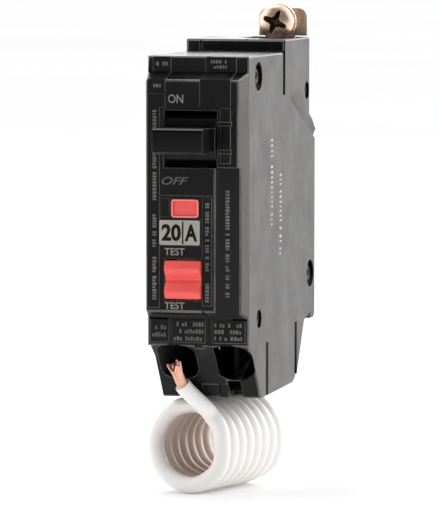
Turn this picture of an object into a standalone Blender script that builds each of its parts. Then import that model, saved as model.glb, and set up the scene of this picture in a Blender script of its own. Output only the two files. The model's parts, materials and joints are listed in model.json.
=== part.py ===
"""One-pole bolt-on ground-fault circuit breaker, one inch wide, with its coiled neutral lead.

The case is drawn in case coordinates, in millimetres: x is across the width from its middle,
y is the depth behind the front ledge, and z is the height above the case's flat bottom.
solid() and cord() turn them into metres, with the origin on the bolt-on tab's rear face.
"""

import math

import bmesh
import bpy
from mathutils import Matrix, Vector

MM = 0.001
GAP = 0.3  # between two pieces that touch

# The case.
HALF_WIDTH = 12.7
WALL = 1.5
SEAM_X = 2.75  # where the base and the cover meet
LEDGE_TOP = 83.7
BLOCK_TOP = 86.8
BLOCK_FRONT = 35.0
UPPER_REAR = 59.3
LOWER_REAR = 65.0
NOSE_FRONT = -5.4
NOSE_HALF_WIDTH = 11.6
NOSE_TOP = 78.1
NOSE_BOTTOM = 22.0
NOSE_SKIN = NOSE_FRONT + WALL
INNER_X = HALF_WIDTH - WALL
RELIEF = 0.7  # the left wall steps in by this beside the terminals

# The bolt-on tab and its captive screw.
TAB_WIDTH = 12.4
TAB_TOP = 94.0
TAB_THICKNESS = 1.6
TAB_X = 6.2
TAB_FRONT = UPPER_REAR - TAB_THICKNESS
SCREW_Z = 90.6
ORIGIN = Vector((TAB_X, UPPER_REAR, 85.0))

# The handle and the contact arm.
PIVOT_Y, PIVOT_Z = 3.0, 63.8
DRUM_RADIUS = 9.0
SLOT_LEFT, SLOT_RIGHT = -7.15, 6.1
SLOT_BOTTOM, SLOT_TOP = 56.9, 70.7
GRIP_REACH = 20.4  # from the pivot to the grip's face
ARM_Y, ARM_Z = 14.0, 60.0
ARM_CLOSED = 12.0  # degrees from the tripped place to closed contacts
CRADLE_Y, CRADLE_Z = 16.0, 49.0
ARMATURE_Y, ARMATURE_Z = 48.6, 53.5

# The test rocker and the trip flag.
ROCKER_LEFT, ROCKER_RIGHT = -6.55, 2.35
ROCKER_Y, ROCKER_Z = -3.6, 29.9
WINDOW_LEFT, WINDOW_RIGHT = -5.1, 1.5
WINDOW_BOTTOM, WINDOW_TOP = 45.0, 49.2

# The rivets: depth, height, radius of the recess in the cover.
RIVETS = ((9.2, 78.6, 3.6), (56.4, 73.5, 2.2), (60.3, 27.4, 3.5), (9.9, 19.6, 2.3))
RIVET_HOLE = 1.45
RIVET_RADIUS = 1.15

# The terminals lie square to the slanted face under the nose.
SLANT_TOP = Vector((0.0, 4.1, 10.5))
SLANT_FOOT = Vector((0.0, 11.7, 0.0))
TERMINAL_MOUTH = Vector((0.0, 4.75, 9.6))
LOAD_X, NEUTRAL_X = -6.35, 7.45

# The neutral lead.
WIRE_RADIUS = 2.05
COIL_RADIUS = 9.95  # at the wire's middle
COIL_PITCH = 4.2
COIL_TURNS = 7.375
COIL_FRONT = Vector((-7.45, 13.3, -12.35))  # centre of the coil's front end
COIL_YAW = math.radians(11.5)  # the coil's axis turns to the right going back
LEAD_EXIT = Vector((-6.0, 51.0, 9.6))
REAR_SLANT = Vector((0.0, 7.1, 12.7)).normalized()
REAR_NORMAL = Vector((0.0, REAR_SLANT.z, -REAR_SLANT.y))

ACROSS = Vector((1.0, 0.0, 0.0))
BACK = Vector((0.0, 1.0, 0.0))
UP = Vector((0.0, 0.0, 1.0))


# ---------------------------------------------------------------- materials

def material(name, colour, roughness, metallic=0.0):
    made = bpy.data.materials.new(name)
    made.use_nodes = True
    shader = made.node_tree.nodes["Principled BSDF"]
    shader.inputs["Base Color"].default_value = (*colour, 1.0)
    shader.inputs["Roughness"].default_value = roughness
    shader.inputs["Metallic"].default_value = metallic
    return made


# ---------------------------------------------------------------- shapes, in case coordinates

def prism(outline, low, high, across=ACROSS, first=BACK, second=UP, start=Vector()):
    """Extrudes an outline, given along first and second, from low to high along across."""
    made = bmesh.new()
    rings = []
    for reach in (low, high):
        at = start + across * reach
        rings.append([made.verts.new(at + first * u + second * v) for u, v in outline])
    made.faces.new(rings[0])
    made.faces.new(list(reversed(rings[1])))
    for i in range(len(outline)):
        j = (i + 1) % len(outline)
        made.faces.new((rings[0][j], rings[0][i], rings[1][i], rings[1][j]))
    bmesh.ops.recalc_face_normals(made, faces=made.faces)
    return made


def block(x, y, z):
    """A box between two places along each axis."""
    return prism([(y[0], z[0]), (y[1], z[0]), (y[1], z[1]), (y[0], z[1])], x[0], x[1])


def circle(radius, sides, centre=(0.0, 0.0)):
    turn = 2 * math.pi / sides
    return [
        (centre[0] + radius * math.cos(i * turn), centre[1] + radius * math.sin(i * turn))
        for i in range(sides)
    ]


def rounded(half_wide, half_tall, corner, sides=16):
    """A rectangle about its centre, with round corners."""
    made = []
    quarter = sides // 4
    for k, (side, end) in enumerate(((1, 1), (-1, 1), (-1, -1), (1, -1))):
        centre = (side * (half_wide - corner), end * (half_tall - corner))
        ring = circle(corner, sides, centre)
        made += [ring[(k * quarter + i) % sides] for i in range(quarter + 1)]
    return made


def rod(start, along, length, radius, sides=20):
    """A round bar from start, along a direction."""
    along = along.normalized()
    first = along.orthogonal().normalized()
    return prism(circle(radius, sides), 0.0, length, along, first, along.cross(first), start)


def turned(profile, start, along, sides=28):
    """Turns a closed profile of (radius, distance along the axis) once round the axis."""
    along = along.normalized()
    first = along.orthogonal().normalized()
    second = along.cross(first)
    made = bmesh.new()
    rings = []
    for i in range(sides):
        angle = 2 * math.pi * i / sides
        out = first * math.cos(angle) + second * math.sin(angle)
        rings.append([made.verts.new(start + along * s + out * r) for r, s in profile])
    for i in range(sides):
        here, there = rings[i], rings[(i + 1) % sides]
        for a in range(len(profile)):
            b = (a + 1) % len(profile)
            made.faces.new((here[a], here[b], there[b], there[a]))
    bmesh.ops.remove_doubles(made, verts=made.verts, dist=0.001)
    bmesh.ops.recalc_face_normals(made, faces=made.faces)
    return made


def washer(start, along, length, outer, inner, sides=28):
    return turned(
        [(inner, 0.0), (outer, 0.0), (outer, length), (inner, length)], start, along, sides
    )


def loft(sections):
    """Joins rectangles (x low, x high, z low, z high) at several depths y into one solid."""
    made = bmesh.new()
    rings = []
    for y, (x0, x1, z0, z1) in sections:
        corners = ((x0, z0), (x1, z0), (x1, z1), (x0, z1))
        rings.append([made.verts.new((x, y, z)) for x, z in corners])
    made.faces.new(rings[0])
    made.faces.new(list(reversed(rings[-1])))
    for here, there in zip(rings, rings[1:]):
        for i in range(4):
            j = (i + 1) % 4
            made.faces.new((here[j], here[i], there[i], there[j]))
    bmesh.ops.recalc_face_normals(made, faces=made.faces)
    return made


def inset(outline, distance):
    """Moves every side of an outline inwards by one distance. The outline turns left."""
    sides = []
    for i, (u, v) in enumerate(outline):
        nu, nv = outline[(i + 1) % len(outline)]
        along = Vector((nu - u, nv - v)).normalized()
        sides.append((Vector((u, v)) + distance * Vector((-along.y, along.x)), along))
    made = []
    for i, (point, along) in enumerate(sides):
        before, heading = sides[i - 1]
        cross = heading.x * along.y - heading.y * along.x
        step = point - before
        reach = (step.x * along.y - step.y * along.x) / cross
        made.append(tuple(before + heading * reach))
    return made


def helix(radius, pitch, turns, start, along, begin=0.0, per_turn=12, flip=1.0):
    """Points of a helix along a direction, whose phase starts at begin, in turns."""
    along = along.normalized()
    first = along.orthogonal().normalized()
    second = along.cross(first) * flip
    count = int(round(turns * per_turn))
    points = []
    for i in range(count + 1):
        turn = turns * i / count
        angle = 2 * math.pi * (turn + begin)
        out = first * math.cos(angle) + second * math.sin(angle)
        points.append(start + along * pitch * turn + out * radius)
    return points


def smooth(points, count):
    """Reads count + 1 evenly spaced points from a Catmull-Rom curve through the given ones."""
    points = [Vector(p) for p in points]
    padded = [2 * points[0] - points[1], *points, 2 * points[-1] - points[-2]]
    dense = []
    for i in range(1, len(padded) - 2):
        a, b, c, d = padded[i - 1 : i + 3]
        for step in range(24):
            t = step / 24
            dense.append(
                0.5 * (2 * b + (c - a) * t + (2 * a - 5 * b + 4 * c - d) * t * t
                       + (3 * b - a - 3 * c + d) * t**3)
            )
    dense.append(points[-1])
    lengths = [0.0]
    for here, there in zip(dense, dense[1:]):
        lengths.append(lengths[-1] + (there - here).length)
    made, k = [], 0
    for i in range(count + 1):
        target = lengths[-1] * i / count
        while k < len(lengths) - 2 and lengths[k + 1] < target:
            k += 1
        share = (target - lengths[k]) / (lengths[k + 1] - lengths[k])
        made.append(dense[k].lerp(dense[k + 1], min(1.0, share)))
    return made


# ---------------------------------------------------------------- objects

def place(name, data, origin):
    made = bpy.data.objects.new(name, data)
    made.location = (Vector(origin) - ORIGIN) * MM
    bpy.context.scene.collection.objects.link(made)
    return made


def to_mesh(name, shape, origin):
    shape.transform(Matrix.Scale(MM, 4) @ Matrix.Translation(-Vector(origin)))
    mesh = bpy.data.meshes.new(name)
    shape.to_mesh(mesh)
    shape.free()
    return mesh


def solid(name, finish, shape, steps=(), origin=ORIGIN):
    """One sub-part. Each step joins a shape to it ("add") or takes one away ("cut"), in order."""
    piece = place(name, to_mesh(name, shape, origin), origin)
    piece.data.materials.append(finish)
    for number, (kind, tool_shape) in enumerate(steps, 1):
        label = f"{name}_{kind}_{number}"
        tool = place(label, to_mesh(label, tool_shape, origin), origin)
        tool.hide_render = True
        tool.display_type = "WIRE"
        change = piece.modifiers.new(label, "BOOLEAN")
        change.operation = "UNION" if kind == "add" else "DIFFERENCE"
        change.solver = "EXACT"
        change.object = tool
    piece.data.shade_smooth()
    piece.data.set_sharp_from_angle(angle=math.radians(35))
    return piece


def cord(name, finish, points, radius, resolution=2, origin=ORIGIN):
    """A round wire along its points."""
    curve = bpy.data.curves.new(name, "CURVE")
    curve.dimensions = "3D"
    curve.bevel_depth = radius * MM
    curve.bevel_resolution = resolution
    curve.use_fill_caps = True
    line = curve.splines.new("POLY")
    line.points.add(len(points) - 1)
    for slot, point in zip(line.points, points):
        slot.co = (*((Vector(point) - Vector(origin)) * MM), 1.0)
    curve.materials.append(finish)
    return place(name, curve, origin)


# ---------------------------------------------------------------- the case

CASE_OUTLINE = [
    (0.0, 13.4), (4.1, 10.5), (11.7, 0.0), (16.5, 0.0), (43.0, 1.2), (47.5, 3.3),
    (54.6, 16.0), (56.0, 16.1), (60.3, 17.4), (60.3, 16.0), (64.0, 16.0), (LOWER_REAR, 17.0),
    (LOWER_REAR, 63.6), (62.4, 66.2), (UPPER_REAR, 67.8), (UPPER_REAR, BLOCK_TOP),
    (BLOCK_FRONT, BLOCK_TOP), (BLOCK_FRONT, LEDGE_TOP), (0.0, LEDGE_TOP),
]
HOLLOW_OUTLINE = inset(
    [
        (0.0, 13.4), (4.1, 10.5), (11.7, 0.0), (43.0, 1.2), (47.5, 3.3), (55.3, 17.4),
        (LOWER_REAR, 18.4), (LOWER_REAR, 63.6), (UPPER_REAR, 67.8), (UPPER_REAR, BLOCK_TOP),
        (BLOCK_FRONT, BLOCK_TOP), (BLOCK_FRONT, LEDGE_TOP), (0.0, LEDGE_TOP),
    ],
    WALL,
)


def nose(x_low, x_high):
    """The drafted front block between two places across the width, on the front ledge."""
    draft = HALF_WIDTH - NOSE_HALF_WIDTH

    def across(depth_share):
        low = x_low + draft * (1 - depth_share) if x_low < 0 else x_low
        high = x_high - draft * (1 - depth_share) if x_high > SEAM_X else x_high
        return low, high

    return loft([
        (NOSE_FRONT, (*across(0.0), NOSE_BOTTOM, NOSE_TOP)),
        (0.0, (*across(0.96), 20.2, 79.8)),
        (1.0, (*across(0.96), 20.2, 79.8)),
    ])


def terminal_mouth(x):
    """The rounded opening through the slanted face, square to it."""
    inward = -slant_normal()
    down = (SLANT_FOOT - SLANT_TOP).normalized()
    outline = rounded(4.75, 6.0, 3.4)
    start = TERMINAL_MOUTH + ACROSS * x
    return prism(outline, -6.0, 8.0, inward, ACROSS, down, start)


def slant_normal():
    down = (SLANT_FOOT - SLANT_TOP).normalized()
    return Vector((0.0, down.z, -down.y))


def case_steps(pillar_low, pillar_high):
    """What the base and the cover share: the rivet pillars, from one x to another."""
    return [
        ("add", rod(Vector((pillar_low, y, z)), ACROSS, pillar_high - pillar_low, r + 1.0, 18))
        for y, z, r in RIVETS
    ]


def rivet_holes(recess_from, recess_to, radius_of):
    steps = []
    for y, z, r in RIVETS:
        start = Vector((-20.0, y, z))
        steps.append(("cut", rod(start, ACROSS, 40.0, RIVET_HOLE, 12)))
        radius = radius_of(r)
        start = Vector((recess_from, y, z))
        steps.append(("cut", rod(start, ACROSS, recess_to - recess_from, radius, 18)))
    return steps


def case_base(finish):
    left, right = -HALF_WIDTH, SEAM_X - GAP / 2
    beyond = right + 1.0
    pocket_roof = block((-3.2, right), (42.0, 58.4), (80.6, BLOCK_TOP - 0.2))
    steps = [
        ("add", nose(left + 0.05, right)),
        ("cut", prism(HOLLOW_OUTLINE, -INNER_X, beyond)),
        ("cut", block((-9.9, beyond), (NOSE_SKIN, 3.0), (24.0, 76.2))),
        ("add", pocket_roof),
        *case_steps(-INNER_X - 0.5, right),
        ("cut", block((-1.5, beyond), (44.0, TAB_FRONT - GAP), (84.2, 90.0))),
        ("cut", block((SLOT_LEFT, beyond), (-9.0, 0.0), (SLOT_BOTTOM, SLOT_TOP))),
        ("cut", block((WINDOW_LEFT, WINDOW_RIGHT), (-9.0, 0.0), (WINDOW_BOTTOM, WINDOW_TOP))),
        ("cut", block((ROCKER_LEFT - 0.3, beyond), (-9.0, 0.0), (24.9, 34.9))),
        ("cut", block((-8.3, 2.0), (-9.0, NOSE_FRONT + 0.5), (38.2, 44.3))),
        ("cut", terminal_mouth(LOAD_X)),
        *rivet_holes(-20.0, -11.5, lambda r: 2.4),
        ("cut", rod(Vector((-11.9, PIVOT_Y, PIVOT_Z)), ACROSS, 5.0, 2.3)),
        ("cut", rod(Vector((-11.9, ARM_Y, ARM_Z)), ACROSS, 5.0, 1.65, 14)),
        ("add", rod(Vector((-INNER_X - 0.5, CRADLE_Y, CRADLE_Z)), ACROSS, 2.0, 1.6, 14)),
        ("cut", rod(LEAD_EXIT - REAR_NORMAL * 5.0, REAR_NORMAL, 10.0, 2.5)),
        ("cut", block((-14.0, left + RELIEF), (-1.0, 56.0), (-1.0, 13.4))),
        ("cut", block((-1.0, 1.1), (-1.0, 1.0), (11.4, 14.2))),
        ("cut", recess_on_slant(-1.4, beyond)),
    ]
    outline = CASE_OUTLINE
    return solid("case_base", finish, prism(outline, left, right), steps)


def recess_on_slant(x_low, x_high):
    """A shallow step along the foot of the slanted face."""
    out = slant_normal()
    foot = SLANT_FOOT
    top = foot + (SLANT_TOP - foot).normalized() * 3.9
    below = foot - UP * 2.0
    corners = (top - out * 0.45, top + out * 2.0, below + out * 2.0, below - out * 0.45)
    return prism([(c.y, c.z) for c in corners], x_low, x_high)


def case_cover(finish):
    left, right = SEAM_X + GAP / 2, HALF_WIDTH
    before = left - 1.0
    steps = [
        ("add", nose(left, right - 0.05)),
        ("cut", prism(HOLLOW_OUTLINE, before, INNER_X)),
        ("cut", block((before, 9.9), (-2.4, 3.0), (24.0, 76.2))),
        ("add", block((left, INNER_X + 0.5), (42.0, 58.4), (80.6, BLOCK_TOP - 0.2))),
        *case_steps(left, INNER_X + 0.5),
        ("add", rod(Vector((7.2, PIVOT_Y, PIVOT_Z)), ACROSS, 4.4, 4.0)),
        ("cut", rod(Vector((5.0, PIVOT_Y, PIVOT_Z)), ACROSS, 5.4, 2.3)),
        ("cut", block((before, 11.9), (44.0, TAB_FRONT - GAP), (84.2, 90.0))),
        ("cut", block((2.9, 9.5), (TAB_FRONT - GAP, 61.0), (76.7, 90.0))),
        ("cut", block((before, SLOT_RIGHT), (-9.0, 0.0), (SLOT_BOTTOM, SLOT_TOP))),
        ("cut", rod(Vector((before, PIVOT_Y, PIVOT_Z)), ACROSS, SLOT_RIGHT - before, 9.4, 28)),
        ("cut", terminal_mouth(NEUTRAL_X)),
        ("cut", nose_channel()),
        *rivet_holes(INNER_X, 20.0, lambda r: r),
        ("cut", block((4.8, 8.3), (5.0, 16.0), (-1.0, 4.4))),
        ("cut", recess_on_slant(before, 4.8)),
        ("cut", side_step(35.0, 73.2, 90.0)),
        ("cut", side_step(18.9, -1.0, 13.3)),
        ("cut", side_step(47.0, 3.0, 16.2)),
        ("cut", side_band()),
    ]
    return solid("case_cover", finish, prism(CASE_OUTLINE, left, right), steps)


def nose_channel():
    """The lower right of the nose steps back by 1.4 mm over a 45 degree slope."""
    depth, edge = 1.4, 5.6
    floor = NOSE_FRONT + depth
    outline = [(3.0, -8.0), (edge, NOSE_FRONT), (edge + depth, floor), (14.0, floor), (14.0, -8.0)]
    return prism(outline, 19.0, 57.0, UP, ACROSS, BACK)


def side_step(y, z_low, z_high):
    """A shallow ramp in the right wall that ends in a step facing forwards."""
    outline = [(HALF_WIDTH - 0.55, y), (HALF_WIDTH + 1, y), (HALF_WIDTH + 1, y - 3.0),
               (HALF_WIDTH, y - 3.0)]
    return prism(outline, z_low, z_high, UP, ACROSS, BACK)


def side_band():
    """A slanted band across the rear of the right wall, sloping in towards its lower edge."""
    start, end = Vector((0, 41.5, 73.0)), Vector((0, 66.0, 62.9))
    along = (end - start).normalized()
    down = Vector((0.0, along.z, -along.y))
    outline = [(HALF_WIDTH, 0.0), (HALF_WIDTH + 1, 0.0), (HALF_WIDTH + 1, 2.0), (HALF_WIDTH - 0.6, 2.0)]
    return prism(outline, 0.0, (end - start).length, along, ACROSS, down, start)


def case_barrier(finish):
    """The plate between the mechanism and the electronics."""
    outline = inset(HOLLOW_OUTLINE, 0.4)
    steps = [("cut", rod(Vector((-5, y, z)), ACROSS, 12.0, r + 1.4, 18)) for y, z, r in RIVETS]
    steps += [
        ("cut", rod(Vector((-5.0, PIVOT_Y, PIVOT_Z)), ACROSS, 12.0, DRUM_RADIUS + 1.0, 28)),
        ("cut", block((-5, 5), (40.0, 61.0), (76.2, 90.0))),
        ("cut", block((-5, 5), (46.0, 51.0), (39.8, 48.6))),
        ("cut", rod(Vector((-5.0, 46.8, 30.0)), ACROSS, 12.0, 3.0, 14)),
        ("cut", rod(Vector((-5.0, 28.0, 15.0)), ACROSS, 12.0, 1.8, 10)),
        ("cut", block((-5, 5), (-4.0, 30.0), (-2.0, 13.5))),
    ]
    return solid("case_barrier", finish, prism(outline, 1.1, 2.3), steps)


def rivets(finish):
    names = ("rivet_upper_front", "rivet_upper_rear", "rivet_lower_rear", "rivet_lower_front")
    for name, (y, z, r) in zip(names, RIVETS):
        head = min(2.0, r - 0.35)
        profile = [
            (0.0, 21.0), (0.6, 21.6), (0.6, 24.1), (head - 0.5, 24.6), (head, 24.3), (head, 23.9),
            (RIVET_RADIUS, 23.9), (RIVET_RADIUS, 0.6), (2.0, 0.6), (1.8, 0.1), (0.0, 0.0),
        ]
        shape = turned(profile, Vector((-12.4, y, z)), ACROSS, 16)
        solid(name, finish, shape)


# ---------------------------------------------------------------- the line end

def line_strap(finish):
    """The tab outside, the shank through the rear wall and the leg that holds the contact."""
    half = TAB_WIDTH / 2
    corner = 2.2
    outline = [(TAB_X - half, 87.1), (TAB_X + half, 87.1)]
    for centre_x, first in ((TAB_X + half - corner, 0), (TAB_X - half + corner, 4)):
        outline += circle(corner, 16, (centre_x, TAB_TOP - corner))[first : first + 5]
    tab = prism(outline, TAB_FRONT, UPPER_REAR, BACK, ACROSS, UP)
    steps = [
        ("add", block((3.2, 9.2), (TAB_FRONT, UPPER_REAR), (77.0, 88.0))),
        ("add", block((-6.4, 9.2), (43.4, 57.4), (77.0, 78.6))),
        ("add", block((3.2, 9.2), (56.0, UPPER_REAR - 0.2), (77.0, 78.6))),
        ("cut", rod(Vector((TAB_X, 50.0, SCREW_Z)), BACK, 20.0, 2.6)),
    ]
    solid("line_strap", finish, tab, steps)


def line_screw(finish):
    """Pan head with a cross slot, and its shank through the tab."""
    axis = Vector((TAB_X, 0.0, SCREW_Z))
    head = turned(
        [(0.0, 0.0), (2.9, 0.0), (4.0, 0.45), (4.4, 1.3), (4.4, 2.4), (2.25, 2.4), (2.25, 9.9),
         (0.0, 9.9)],
        axis + BACK * 49.0, BACK,
    )
    steps = [
        ("cut", block((TAB_X - 3.1, TAB_X + 3.1), (48.0, 50.3), (SCREW_Z - 0.6, SCREW_Z + 0.6))),
        ("cut", block((TAB_X - 0.6, TAB_X + 0.6), (48.0, 50.3), (SCREW_Z - 3.1, SCREW_Z + 3.1))),
    ]
    solid("line_screw", finish, head, steps, origin=axis + BACK * 49.0)


def line_washers(plate, spring_steel):
    axis = Vector((TAB_X, 0.0, SCREW_Z))
    first = axis + BACK * 51.7
    solid("line_lock_washer", spring_steel, washer(first, BACK, 0.9, 4.1, 2.5), origin=first)
    second = first + BACK * (0.9 + GAP)
    solid("line_flat_washer", plate, washer(second, BACK, 0.8, 4.6, 2.5), origin=second)


# ---------------------------------------------------------------- handle, contacts and trip

def handle(finish):
    """Grip and barrel in one moulding, turning on two stub shafts."""
    outline = []
    for degrees in range(-60, 61, 10):
        angle = math.radians(180 + degrees)
        outline.append((DRUM_RADIUS * math.cos(angle), DRUM_RADIUS * math.sin(angle)))
    for degrees in range(-100, 101, 25):
        angle = math.radians(degrees)
        outline.append((3.6 * math.cos(angle), 3.6 * math.sin(angle)))
    outline = [(PIVOT_Y + y, PIVOT_Z - z) for y, z in outline]
    half = 3.1
    tip, root = PIVOT_Y - GRIP_REACH, PIVOT_Y - DRUM_RADIUS + 1.0
    grip = [
        (root, PIVOT_Z - half + 0.4), (root, PIVOT_Z + half - 0.4),
        (tip + 0.7, PIVOT_Z + half), (tip + 0.15, PIVOT_Z + half - 0.35),
        (tip, PIVOT_Z + half - 0.9), (tip, PIVOT_Z - half + 0.9),
        (tip + 0.15, PIVOT_Z - half + 0.35), (tip + 0.7, PIVOT_Z - half),
    ]
    steps = [
        ("add", prism(grip, SLOT_LEFT + 0.4, SLOT_RIGHT - 0.4)),
        ("add", rod(Vector((-11.6, PIVOT_Y, PIVOT_Z)), ACROSS, 21.6, 2.0)),
    ]
    shape = prism(outline, SLOT_LEFT + 0.3, SLOT_RIGHT - 0.3)
    solid("handle", finish, shape, steps, origin=(TAB_X, PIVOT_Y, PIVOT_Z))


def turn_about(shape, y, z, degrees):
    """Turns a shape about an axis across the case."""
    axis = Vector((0.0, y, z))
    shape.transform(
        Matrix.Translation(axis) @ Matrix.Rotation(math.radians(degrees), 4, "X")
        @ Matrix.Translation(-axis)
    )
    return shape


def contacts(copper, silver, steel):
    """The arm is drawn closed and then swung down to its tripped place."""
    pivot = (TAB_X, ARM_Y, ARM_Z)
    outline = [
        (49.4, 73.2), (44.4, 73.2), (40.0, 70.9), (15.0, 62.6), (12.0, 61.9), (11.4, 59.0),
        (14.0, 57.2), (17.0, 58.0), (41.5, 68.4), (45.0, 71.0), (49.4, 71.0),
    ]
    arm = turn_about(prism(outline, -4.6, -2.6), ARM_Y, ARM_Z, -ARM_CLOSED)
    hole = rod(Vector((-8.0, ARM_Y, ARM_Z)), ACROSS, 8.0, 1.65, 14)
    solid("contact_arm", copper, arm, [("cut", hole)], origin=pivot)
    pad = turn_about(block((-5.8, -1.4), (45.2, 49.2), (73.5, 74.7)), ARM_Y, ARM_Z, -ARM_CLOSED)
    solid("moving_contact", silver, pad, origin=pivot)
    solid("fixed_contact", silver, block((-5.8, -1.4), (45.0, 49.4), (75.3, 76.7)))
    pin = rod(Vector((-11.6, ARM_Y, ARM_Z)), ACROSS, 12.2, 1.35, 14)
    solid("arm_pin", steel, pin)


def trip_mechanism(steel, bimetal_finish, brass):
    outline = [
        (13.4, 49.5), (15.0, 51.6), (18.0, 51.4), (30.0, 48.5), (44.5, 44.4), (45.2, 42.2),
        (43.8, 41.6), (30.0, 44.8), (20.0, 46.2), (15.0, 46.3),
    ]
    hole = rod(Vector((-12.0, CRADLE_Y, CRADLE_Z)), ACROSS, 4.0, 1.9, 14)
    solid("cradle", steel, prism(outline, -10.7, -9.6), [("cut", hole)],
          origin=(TAB_X, CRADLE_Y, CRADLE_Z))
    spring = helix(1.8, 1.6, 8, Vector((-7.1, 28.6, 47.2)), Vector((0.0, -4.0, 12.8)), 0.0, 9)
    cord("main_spring", steel, spring, 0.35, 1)

    armature = block((-10.8, -2.0), (48.0, 49.2), (36.0, 52.6))
    tab = block((-2.5, 8.0), (48.0, 49.2), (41.0, 47.0))
    solid("armature", steel, armature, [("add", tab)], origin=(TAB_X, ARMATURE_Y, ARMATURE_Z))
    yoke = [(-10.6, 50.4), (-9.4, 50.4), (-9.4, 54.0), (-1.6, 54.0), (-1.6, 50.4), (-0.4, 50.4),
            (-0.4, 55.4), (-10.6, 55.4)]
    solid("magnet_yoke", steel, prism(yoke, 30.0, 46.0, UP, ACROSS, BACK))
    solid("bimetal", bimetal_finish, block((-7.5, -2.5), (51.5, 52.5), (19.0, 53.2)))
    solid("bimetal_bracket", brass, block((-7.5, -2.5), (52.8, 53.7), (18.4, 29.0)))


def arc_plates(finish):
    """Notched steel plates that split the arc, behind the contact's path."""
    for number in range(4):
        z = 59.6 + 3.0 * number
        outline = [(-10.4, 53.6), (-7.2, 53.6), (-5.6, 55.4), (-3.0, 55.4), (-1.4, 53.6),
                   (0.4, 53.6), (0.4, 57.3), (-10.4, 57.3)]
        shape = prism(outline, z, z + 0.9, UP, ACROSS, BACK)
        solid(f"arc_plate_{number + 1}", finish, shape)


def braid(finish):
    route = [(-3.6, 43.0, 61.4), (-3.6, 43.4, 58.6), (-3.8, 46.6, 55.9), (-4.4, 50.2, 55.8),
             (-4.6, 52.0, 54.9), (-4.6, 52.1, 53.6)]
    cord("flexible_braid", finish, smooth(route, 14), 0.9, 1)


# ---------------------------------------------------------------- test rocker, flag, labels

def test_rocker(finish):
    """A rocker with two crests and a valley between them."""
    face = [
        (-6.0, 34.6), (-6.7, 34.3), (-7.5, 32.9), (-7.4, 32.1), (-6.0, 30.4), (-5.8, 29.9),
        (-6.0, 29.4), (-7.4, 27.7), (-7.5, 26.9), (-6.7, 25.5), (-6.0, 25.2),
    ]
    outline = [(-2.3, 26.0), (-2.3, 33.8), *face]
    shape = prism(outline, ROCKER_LEFT, ROCKER_RIGHT)
    solid("test_rocker", finish, shape, origin=(TAB_X, ROCKER_Y, ROCKER_Z))


def test_spring(finish):
    solid("test_spring", finish, block((-5.0, 1.2), (-1.3, -0.95), (24.4, 37.0)))


def trip_flag(finish):
    panel = block((-5.3, 1.7), (-3.6, -2.9), (44.4, 50.0))
    solid("trip_flag", finish, panel, origin=(TAB_X, -3.2, 47.2))


def flag_lens(finish):
    lens = block(
        (WINDOW_LEFT + GAP, WINDOW_RIGHT - GAP), (NOSE_FRONT + 0.1, NOSE_FRONT + 0.9),
        (WINDOW_BOTTOM + GAP, WINDOW_TOP - GAP),
    )
    solid("flag_lens", finish, lens)


def rating_label(finish):
    solid("rating_label", finish, block((-8.0, 1.7), (-5.6, -5.2), (38.5, 44.0)))


# ---------------------------------------------------------------- terminals

def terminal(side, x, screw_finish, plate_finish):
    """A pressure terminal: screw, saddle clamp and plate, on the axis through the mouth."""
    inward = -slant_normal()
    down = (SLANT_FOOT - SLANT_TOP).normalized()
    start = TERMINAL_MOUTH + ACROSS * x

    def plate(half_wide, half_tall, near, far):
        outline = [(-half_wide, -half_tall), (half_wide, -half_tall), (half_wide, half_tall),
                   (-half_wide, half_tall)]
        return prism(outline, near, far, inward, ACROSS, down, start)

    screw = turned(
        [(0.0, 13.2), (2.6, 13.2), (3.2, 13.8), (3.2, 15.2), (1.8, 15.2), (1.8, 23.6),
         (0.0, 23.6)],
        start, inward, 20,
    )
    slot = prism([(-4.0, -0.5), (4.0, -0.5), (4.0, 0.5), (-4.0, 0.5)], 12.5, 14.3, inward,
                 ACROSS, down, start)
    centre = start + inward * 14.0
    solid(f"{side}_screw", screw_finish, screw, [("cut", slot)], origin=centre)
    for name, half_tall, near, far in (("clamp", 4.0, 15.6, 16.6), ("terminal", 4.2, 19.6, 21.0)):
        bore = rod(start + inward * 10.0, inward, 20.0, 2.1, 16)
        shape = plate(3.4, half_tall, near, far)
        solid(f"{side}_{name}", plate_finish, shape, [("cut", bore)], origin=centre)


# ---------------------------------------------------------------- electronics

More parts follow.
